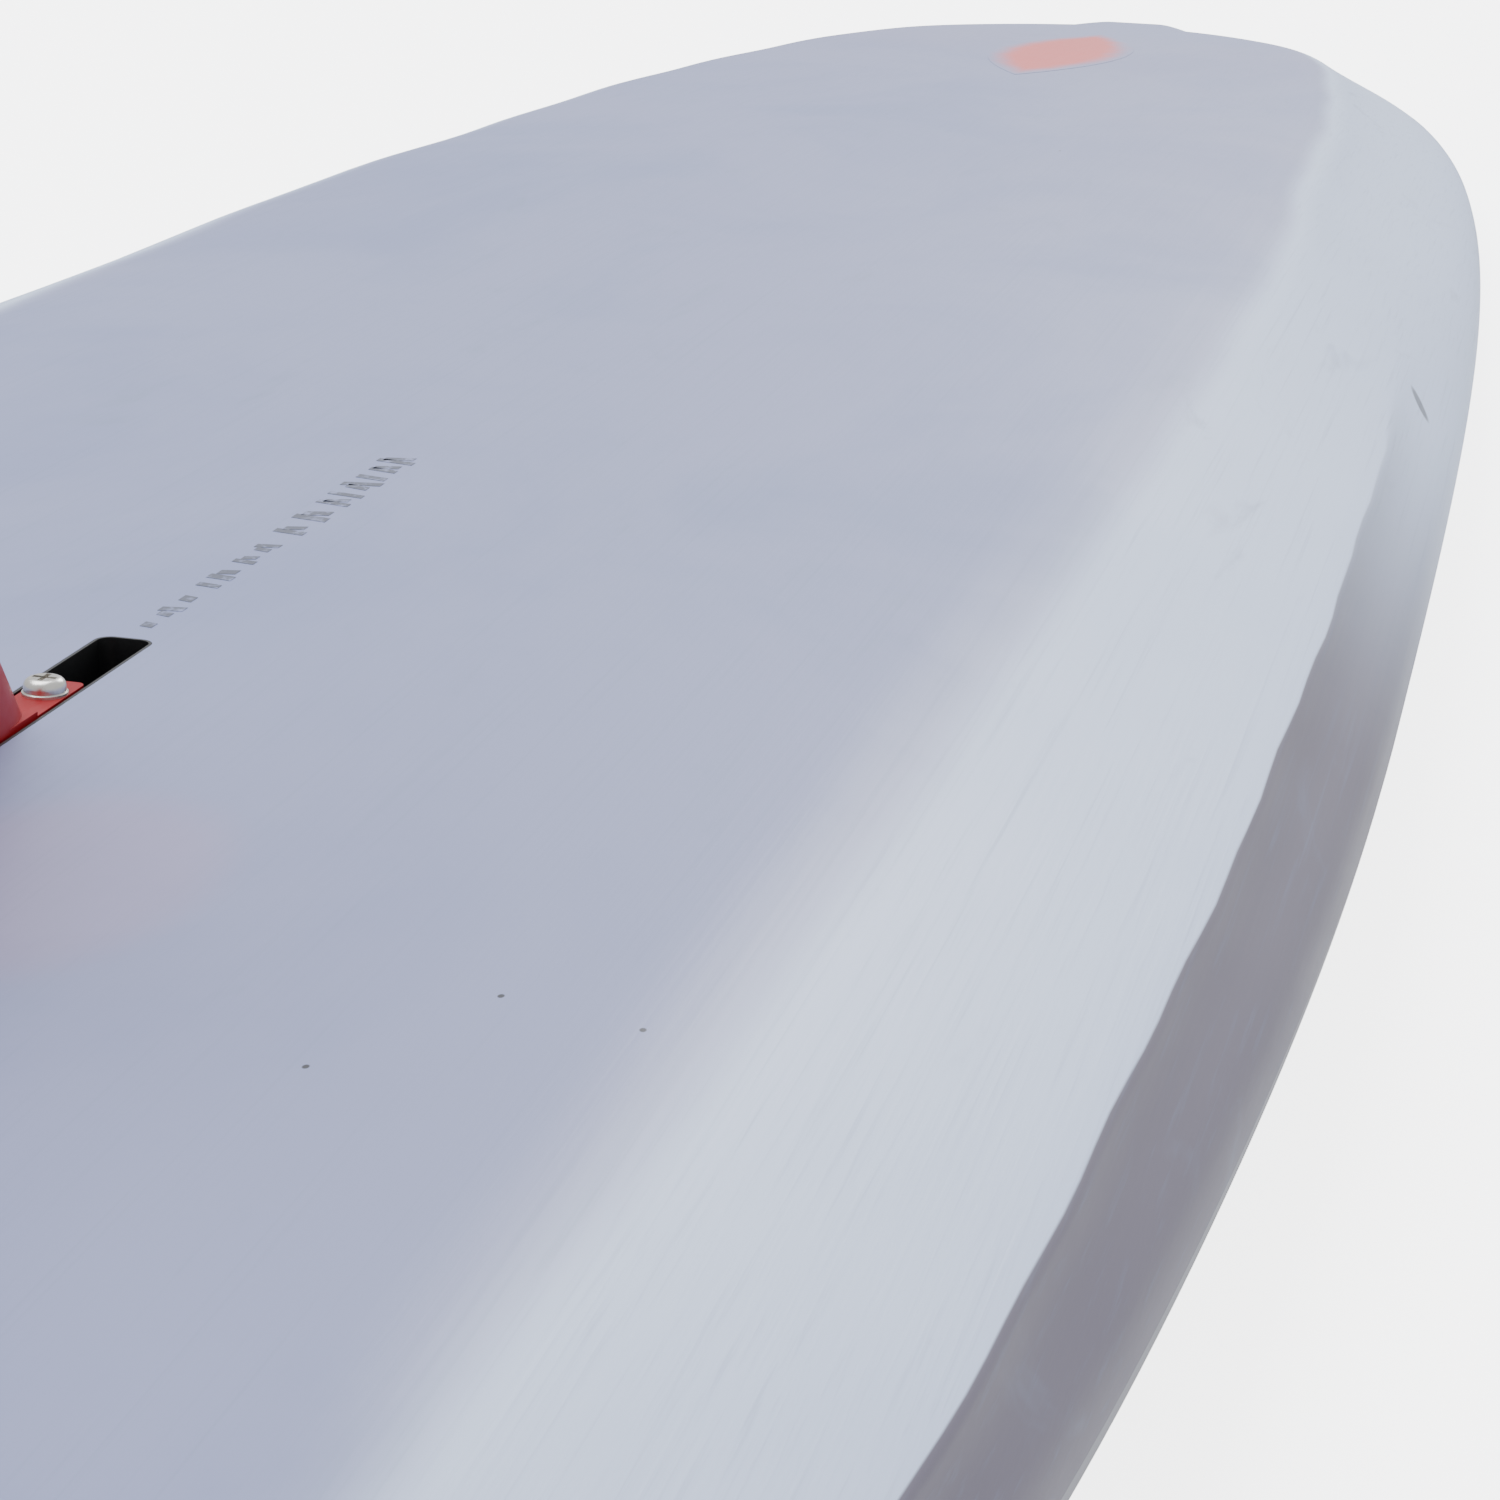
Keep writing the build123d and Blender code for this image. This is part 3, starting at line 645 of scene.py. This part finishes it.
def board_color(finish, zones=True):
    """Satin blue-grey paint: clouds, faint smears and fine sanding streaks along the board, and,
    where asked, a painted highlight on the bevels and painted shade on the rails.
    """
    noise, ramp = finish.noise, finish.ramp
    clouds = ramp(noise((5.5, 9.0, 9.0), 5.0, 0.6, turn=0.12, distort=0.6), 0.38, 0.72)
    warm = ramp(noise((2.3, 4.1, 4.1), 3.0, 0.5, turn=-0.2), 0.5, 0.78)
    smears = ramp(noise((16.0, 52.0, 52.0), 4.0, 0.6, turn=0.28, distort=0.8), 0.6, 0.82)
    streaks = noise((7.0, 900.0, 900.0), 3.0, 0.6, turn=0.03)
    color = finish.over(PAINT, clouds, COVER["clouds"], PAINT_SHADE)
    color = finish.over(color, warm, COVER["warm"], PAINT_WARM)
    if zones:
        # Painted highlight on the bevels and painted shade along the rails, chosen by the surface's
        # slope.
        bevel, rail = painted_light_zones(finish)
        color = finish.over(color, bevel, COVER["bevel"], PAINTED_BEVEL_HIGHLIGHT)
        color = finish.over(color, rail, COVER["rail"], PAINTED_RAIL_SHADE)
    color = finish.over(color, smears, COVER["smears"], SCUFF)
    color = finish.over(color, ramp(streaks, 0.52, 0.78), COVER["streaks"], SCUFF)
    return color, clouds, streaks


def finish_board(finish, clouds, streaks):
    """Sheen of the paint, rougher in the clouds and streaks, with a grain and slow unevenness."""
    times = finish.times
    rough = finish.math("ADD", times(clouds, 0.08), times(streaks, 0.10))
    finish.roughness(finish.math("ADD", rough, BOARD_ROUGHNESS))
    grain = finish.noise((260.0, 900.0, 900.0), 2.0, 0.5)
    slow = finish.noise((9.0, 14.0, 14.0), 2.0, 0.4)
    height = finish.math("ADD", times(streaks, 0.25), times(grain, 0.12))
    finish.bump(finish.math("ADD", height, times(slow, 3.0)), distance=0.00025, strength=0.6)
    finish.constant(Coat_Weight=0.06, Coat_Roughness=0.3)


def paint_bottom():
    finish = Finish("board_bottom")
    color, clouds, streaks = board_color(finish)
    for place in SPECKS:
        color = finish.mix(finish.spot(place, SPECK_RADII), color, SPECK_COLOR)
    color = finish.over(color, finish.spot(DARK_STREAK, DARK_STREAK_RADII, DARK_STREAK_TURN), DARK_STREAK_COVER, DARK_STREAK_COLOR)
    glow = finish.spot(FIN_GLOW, FIN_GLOW_RADII)
    color = finish.over(color, glow, FIN_GLOW_COVER, FIN_GLOW_COLOR)
    finish.color(color)
    finish_board(finish, clouds, streaks)
    return finish.material


def paint_deck():
    finish = Finish("board_deck")
    color, clouds, streaks = board_color(finish)
    finish.color(finish.mix(DECK_COVER, color, PAINT_DECK))
    finish_board(finish, clouds, streaks)
    return finish.material


def printed(name, ink, amount, mask):
    """Print on the board: ink where the mask is 1, board paint where it is 0."""
    finish = Finish(name)
    color, clouds, streaks = board_color(finish, zones=False)
    finish.color(finish.mix(mask(finish, amount), color, ink))
    finish_board(finish, clouds, streaks)
    return finish.material


def plastic(name, color, rough):
    """Moulded plastic or rubber with a fine, even grain and slightly paler patches."""
    finish = Finish(name)
    fine = finish.noise((450.0, 450.0, 450.0), 3.0, 0.6)
    slow = finish.noise((18.0, 18.0, 18.0), 3.0, 0.5)
    paler = tuple(min(1.0, c * 1.6 + 0.012) for c in color)
    finish.color(finish.over(color, finish.ramp(slow, 0.4, 0.75), 0.15, paler))
    finish.roughness(finish.scaled(fine, 0.16, rough - 0.08))
    finish.bump(fine, distance=0.00004)
    return finish.material


def metal(name, color, rough):
    """Worn metal, brushed one way, with faint tarnish."""
    finish = Finish(name)
    lines = finish.noise((90.0, 2200.0, 2200.0), 3.0, 0.6)
    tarnish = finish.ramp(finish.noise((240.0, 240.0, 240.0), 4.0, 0.6), 0.45, 0.75)
    dark = tuple(c * 0.62 for c in color)
    finish.color(finish.over(color, tarnish, 0.55, dark))
    finish.roughness(finish.scaled(lines, 0.22, rough - 0.1))
    finish.bump(lines, distance=0.00003)
    finish.constant(Metallic=1.0)
    return finish.material


def fin_material():
    """Moulded red plastic in two close reds, satin."""
    finish = Finish("fin_red")
    slow = finish.ramp(finish.noise((14.0, 14.0, 9.0), 3.0, 0.5), 0.35, 0.7)
    fine = finish.noise((300.0, 900.0, 300.0), 2.0, 0.5)
    finish.color(finish.mix(slow, (0.27, 0.004, 0.008), (0.34, 0.007, 0.012)))
    finish.roughness(finish.scaled(fine, 0.14, 0.34))
    finish.bump(fine, distance=0.00002)
    finish.constant(Specular_IOR_Level=0.2)
    return finish.material


def foam(name, color, cell, dark):
    """Foam of round cells, cell of them to a metre, darker between them."""
    finish = Finish(name)
    beads = finish.tree.nodes.new("ShaderNodeTexVoronoi")
    beads.inputs["Scale"].default_value = cell
    finish.link(finish.place, beads.inputs["Vector"])
    edge = finish.ramp(beads.outputs["Distance"], 0.1, 0.8)
    finish.color(finish.mix(edge, color, dark))
    finish.bump(beads.outputs["Distance"], distance=0.0004)
    finish.constant(Roughness=0.8)
    return finish.material


def wood():
    """Pale wood with its grain along the board."""
    finish = Finish("stringer_wood")
    grain = finish.ramp(finish.noise((4.0, 320.0, 180.0), 5.0, 0.6, distort=0.5), 0.35, 0.7)
    finish.color(finish.mix(grain, (0.42, 0.25, 0.12), (0.62, 0.45, 0.27)))
    finish.bump(grain, distance=0.0001)
    finish.constant(Roughness=0.55)
    return finish.material


def pad_material():
    """Closed-cell deck foam: charcoal with a fine cell texture and paler worn faces."""
    finish = Finish("pad_foam")
    cells = finish.noise((1500.0, 1500.0, 1500.0), 3.0, 0.7)
    worn = finish.ramp(finish.noise((22.0, 30.0, 30.0), 4.0, 0.6), 0.42, 0.75)
    flecks = finish.ramp(finish.noise((620.0, 620.0, 620.0), 2.0, 0.5), 0.62, 0.7)
    color = finish.over((0.030, 0.033, 0.038), worn, 0.5, (0.055, 0.060, 0.068))
    finish.color(finish.over(color, flecks, 0.25, (0.12, 0.13, 0.15)))
    finish.roughness(finish.scaled(cells, 0.2, 0.68))
    finish.bump(cells, distance=0.0002)
    return finish.material


def wear(piece, material):
    """Gives the whole piece one material."""
    piece.data.materials.clear()
    piece.data.materials.append(material)
    for face in piece.data.polygons:
        face.material_index = 0


# ======== Printed marks ========
EMBLEM_AT = X_SLOT + 1100.0
EMBLEM = (264.0, 62.0)       # length and width
EMBLEM_STEPS = (60, 12)      # mesh cells along and across
LEAF_TIP = 0.02              # least half width, so that the leaf's points stay closed
LEAF_INK, LEAF_SOFT = (0.80, 0.10, 0.07), 0.45
PRINT_LIFT = 0.08            # printed marks stand this far off the surface
PRINT_WALL = 0.06
# Start ahead of the slot, length and width of each plain bar.
MARK_BARS = (
    (8, 5, 3.5), (16, 9, 5.0), (27, 6, 4.0), (38, 4, 5.0), (44, 10, 5.5), (57, 8, 5.0),
    (67, 8, 5.0), (82, 9, 7.0), (94, 11, 8.0), (108, 12, 9.0), (123, 14, 9.0), (140, 17, 9.0),
)
STROKE_PITCH = 4.5           # a bar is made of strokes about this far apart
STROKE_SHARE = 0.62          # share of the pitch that is inked
STROKE_LEAN = 0.18           # lean to either side, as a share of the bar's width
MARK_INK, MARK_COVER = (0.07, 0.075, 0.10), 0.88
MARK_FOOT = 0.02             # height of the strokes' undersides off the surface


def patch(name, x0, x1, half_width, steps_x, steps_y):
    """Thin closed patch that follows the bottom, with a half width given for each x."""
    rows = []
    for i in range(steps_x + 1):
        x = x0 + (x1 - x0) * i / steps_x
        z = float(bottom_height(np.array(x))) + PRINT_LIFT
        rows.append([(x, half_width(x) * (2 * j / steps_y - 1), z) for j in range(steps_y + 1)])
    points = [point for row in rows for point in row]
    piece = new_object(name, points, grid_faces(steps_x + 1, steps_y + 1))
    wall = piece.modifiers.new("wall", "SOLIDIFY")
    wall.thickness = PRINT_WALL * MM
    wall.offset = 0
    return shade(outward(apply_modifiers(piece)), PRINT_CORNER)


def leaf_half_width(x):
    share = min(1.0, abs(x - EMBLEM_AT) / (EMBLEM[0] / 2))
    return max(LEAF_TIP, EMBLEM[1] / 2 * (1 - share**2))


def leaf_mask(finish, soft):
    """Strong in the leaf's heart, fading to its outline."""
    x, y, _ = finish.parts()
    u = finish.math("DIVIDE", finish.math("SUBTRACT", x, EMBLEM_AT * MM), EMBLEM[0] * MM / 2)
    room = finish.math("SUBTRACT", 1.0, finish.times(u, u))
    v = finish.math("DIVIDE", finish.math("ABSOLUTE", y), EMBLEM[1] * MM / 2)
    inside = finish.math("SUBTRACT", room, v)
    ragged = finish.math("SUBTRACT", finish.noise((60.0, 90.0, 90.0)), 0.5)
    fray = finish.times(ragged, 0.25)
    return finish.ramp(finish.math("ADD", inside, fray), -0.02, soft, 0.0, 0.9)


def make_emblem():
    start = EMBLEM_AT - EMBLEM[0] / 2
    end = EMBLEM_AT + EMBLEM[0] / 2
    piece = patch("emblem_print", start, end, leaf_half_width, *EMBLEM_STEPS)
    wear(piece, printed("emblem_print", LEAF_INK, LEAF_SOFT, leaf_mask))
    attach(piece, "board")
    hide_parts("nose_emblem")


def mark_mask(finish, cover):
    """Ink that is patchy and thin in places."""
    patchy = finish.ramp(finish.noise((420.0, 420.0, 420.0), 3.0, 0.6), 0.28, 0.52)
    return finish.times(patchy, cover)


def make_marks():
    """Row of plain printed bars: each is a few ticks across the board, like worn print."""
    points, faces = [], []
    quad = [(0, 3, 2, 1), (4, 5, 6, 7), (0, 1, 5, 4), (1, 2, 6, 5), (2, 3, 7, 6), (3, 0, 4, 7)]
    for start, length, width in MARK_BARS:
        strokes = max(1, round(length / STROKE_PITCH))
        for k in range(strokes):
            x0 = X_SLOT + start + length * k / strokes
            x1 = x0 + STROKE_SHARE * length / strokes
            lean = STROKE_LEAN * width * (-1) ** k
            half = width / 2 * (0.78 + 0.22 * math.cos(2.1 * k + start))
            first = len(points)
            plan = [(x0, -half), (x1, -half), (x1 + lean, half), (x0 + lean, half)]
            for lift in (MARK_FOOT, PRINT_LIFT):
                points += [(x, y, Z_BOTTOM + lift) for x, y in plan]
            faces += [tuple(first + corner for corner in face) for face in quad]
    piece = outward(new_object("size_print", points, faces, smooth=False))
    wear(piece, printed("size_print", MARK_INK, MARK_COVER, mark_mask))
    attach(piece, "board")
    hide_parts("size_marks")


# ======== Grip pads ========
GROOVE = (1.3, 1.1)          # width and depth of a groove in a pad
GROOVE_PITCH = (26.0, 7.5)   # along and across the board
PAD_CORNER = 12.0
PAD_CORNER_STEPS = (0.3, 0.55, 0.8, 1.0)
PAD_ROLL = 1.6               # rounded edge of a pad
PAD_LEAST = 0.4              # least thickness of a pad
ROLL_STEPS = (0.0, 0.3, 1.0)
GROOVE_FLOOR = 0.45          # share of a groove's width that is flat at its bottom
GLUE = 0.2
KICK_RAMP = 0.65             # share of the kick's length that slopes


def groove_lines(low, high, pitch):
    """Places across a pad where its surface changes, with the groove depth at each."""
    half = GROOVE[0] / 2
    lines = [(low + share * PAD_ROLL, 0.0) for share in ROLL_STEPS]
    count = int((high - low - 4 * PAD_ROLL) / pitch)
    start = (low + high) / 2 - (count - 1) * pitch / 2
    for k in range(count):
        centre = start + k * pitch
        for share, depth in ((-1, 0.0), (-GROOVE_FLOOR, 1.0), (GROOVE_FLOOR, 1.0), (1, 0.0)):
            lines.append((centre + share * half, depth))
    return lines + [(high - share * PAD_ROLL, 0.0) for share in ROLL_STEPS[::-1]]


def roll(distance):
    """How far a rounded edge stands back at a distance from the border."""
    if distance >= PAD_ROLL:
        return 0.0
    return PAD_ROLL * (1 - (1 - (1 - distance / PAD_ROLL) ** 2) ** 0.5)


def make_pad(node, low_face):
    """Grooved foam pad with a rolled edge, in the space of its CAD solid."""
    lowest, highest = (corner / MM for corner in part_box(node))
    x_lines = groove_lines(lowest.x, highest.x, GROOVE_PITCH[0])
    for share in PAD_CORNER_STEPS:
        x_lines += [(lowest.x + share * PAD_CORNER, 0.0), (highest.x - share * PAD_CORNER, 0.0)]
    x_lines.sort()
    y_lines = groove_lines(lowest.y, highest.y, GROOVE_PITCH[1])
    middle_x = (lowest.x + highest.x) / 2
    middle_y = (lowest.y + highest.y) / 2
    half_x = (highest.x - lowest.x) / 2
    half_y = (highest.y - lowest.y) / 2
    under, over = [], []
    for x, x_groove in x_lines:
        past = max(0.0, abs(x - middle_x) - (half_x - PAD_CORNER))
        narrowing = PAD_CORNER - (PAD_CORNER**2 - past**2) ** 0.5
        squeeze = (half_y - narrowing) / half_y
        top = float(deck_height(np.array(x))) - GLUE
        for y, y_groove in y_lines:
            border = min(half_x - abs(x - middle_x), half_y - abs(y - middle_y))
            lift = max(GROOVE[1] * max(x_groove, y_groove), roll(border))
            place = middle_y + (y - middle_y) * squeeze
            under.append((x, place, min(top - PAD_LEAST, low_face(x) + lift)))
            over.append((x, place, top))
    rows, columns = len(x_lines), len(y_lines)
    faces = grid_faces(rows, columns) + grid_faces(rows, columns, rows * columns)
    ring = list(range(columns))
    ring += [i * columns + columns - 1 for i in range(1, rows)]
    ring += [(rows - 1) * columns + j for j in range(columns - 2, -1, -1)]
    ring += [i * columns for i in range(rows - 2, 0, -1)]
    lid = rows * columns
    faces += [(a, b, b + lid, a + lid) for a, b in zip(ring, ring[1:] + ring[:1])]
    piece = outward(new_object(node + "_foam", under + over, faces))
    shade(piece, PAD_CORNER_ANGLE)
    wear(piece, materials["pad_foam"])
    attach(piece, "board")
    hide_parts(node)


def kick_face(x, lowest, highest):
    """Underside of the kick: pad height at its front, rising to the full kick at the rear."""
    front = float(deck_height(np.array(highest.x))) - PAD
    share = ease(highest.x - x, 0.0, KICK_RAMP * (highest.x - lowest.x))
    return front + (lowest.z - front) * share


def make_pads():
    for node in sorted(frame["nodes"]):
        if "_pad_" not in node:
            continue
        if node.endswith("kick"):
            lowest, highest = (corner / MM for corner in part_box(node))
            make_pad(node, lambda x: kick_face(x, lowest, highest))
        else:
            make_pad(node, lambda x: float(deck_height(np.array(x))) - PAD)


# ======== Materials by slot ========
materials = {
    "core_foam": foam("core_foam", (0.80, 0.80, 0.76), 380.0, (0.62, 0.62, 0.58)),
    "dense_foam": foam("dense_foam", (0.60, 0.56, 0.32), 900.0, (0.48, 0.44, 0.24)),
    "stringer_wood": wood(),
    "box_plastic": plastic("box_plastic", (0.008, 0.008, 0.009), 0.42),
    "cup_plastic": plastic("cup_plastic", (0.012, 0.012, 0.013), 0.45),
    "fin_red": fin_material(),
    "pin_brass": metal("pin_brass", (0.66, 0.48, 0.20), 0.34),
    "steel": metal("steel", (0.66, 0.64, 0.60), 0.30),
    "seal_rubber": plastic("seal_rubber", (0.010, 0.010, 0.010), 0.62),
    "pad_foam": pad_material(),
    "bottom_finish": paint_bottom(),
    "deck_finish": paint_deck(),
    "emblem_red": plastic("emblem_inlay", (0.45, 0.08, 0.06), 0.4),
    "mark_grey": plastic("mark_inlay", (0.04, 0.04, 0.05), 0.5),
}


def dress_nodes():
    """Each CAD node takes the material of its slot."""
    for subpart in frame["record"]["subparts"]:
        piece = frame["nodes"][subpart["node"]]
        wear(piece, materials[subpart["material_slot"]])
        shade(piece, NODE_CORNER)


def dress_shells():
    bottom, deck = make_shells()
    for piece, node, slot in (
        (bottom, "bottom_skin", "bottom_finish"),
        (deck, "deck_skin", "deck_finish"),
    ):
        wear(piece, materials[slot])
        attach(piece, "board")
        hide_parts(node)


# ======== Camera, lights and floor ========
def make_camera():
    data = bpy.data.cameras.new("camera")
    data.lens = LENS
    data.sensor_width = SENSOR_WIDTH
    data.clip_start = CLIP_START
    camera = bpy.data.objects.new("camera", data)
    bpy.context.scene.collection.objects.link(camera)
    level = math.cos(PITCH)
    look = Vector((math.cos(YAW) * level, math.sin(YAW) * level, -math.sin(PITCH)))
    right = look.cross(Vector((0, 0, 1))).normalized()
    up = right.cross(look)
    right_rolled = math.cos(ROLL) * right + math.sin(ROLL) * up
    up_rolled = -math.sin(ROLL) * right + math.cos(ROLL) * up
    turn = Matrix((right_rolled, up_rolled, -look)).transposed().to_4x4()
    origin = Vector((X_SLOT * MM, 0, Z_BOTTOM * MM))
    camera.matrix_world = Matrix.Translation(origin + CAMERA_FROM_SLOT) @ turn
    bpy.context.scene.camera = camera


def area_light(name, place, target, size, power, color):
    data = bpy.data.lights.new(name, "AREA")
    data.shape = "RECTANGLE"
    data.size, data.size_y = size
    data.energy = power
    data.color = color
    light = bpy.data.objects.new(name, data)
    light.location = place
    light.rotation_euler = (Vector(target) - Vector(place)).to_track_quat("-Z", "Y").to_euler()
    bpy.context.scene.collection.objects.link(light)


def make_world():
    world = bpy.data.worlds.new("world")
    world.use_nodes = True
    background = world.node_tree.nodes["Background"]
    background.inputs["Color"].default_value = WORLD_COLOR
    background.inputs["Strength"].default_value = WORLD_STRENGTH
    bpy.context.scene.world = world


def make_floor():
    """Pale floor that glows only towards the camera and is clear from below."""
    corners = [(-FLOOR, -FLOOR), (FLOOR, -FLOOR), (FLOOR, FLOOR), (-FLOOR, FLOOR)]
    floor = new_object("floor", [(x, y, FLOOR_HEIGHT) for x, y in corners], [(0, 1, 2, 3)])
    finish = Finish("floor")
    mottle = finish.noise((2.0, 2.0, 2.0), 2.0, 0.5)
    finish.color(finish.mix(mottle, (0.93, 0.93, 0.93), (0.96, 0.96, 0.96)))
    finish.constant(Roughness=0.9, Emission_Color=(1, 1, 1, 1))
    nodes = finish.tree.nodes
    seen = nodes.new("ShaderNodeLightPath").outputs["Is Camera Ray"]
    glow = finish.times(seen, FLOOR_GLOW)
    finish.link(glow, finish.shader.inputs["Emission Strength"])
    side = nodes.new("ShaderNodeNewGeometry").outputs["Backfacing"]
    clear = nodes.new("ShaderNodeBsdfTransparent")
    choose = nodes.new("ShaderNodeMixShader")
    finish.link(side, choose.inputs[0])
    finish.link(finish.shader.outputs[0], choose.inputs[1])
    finish.link(clear.outputs[0], choose.inputs[2])
    finish.link(choose.outputs[0], nodes["Material Output"].inputs["Surface"])
    wear(floor, finish.material)


dress_nodes()
dress_shells()
make_emblem()
make_marks()
make_pads()
make_camera()
make_world()
for light in LIGHTS:
    area_light(*light)
make_floor()
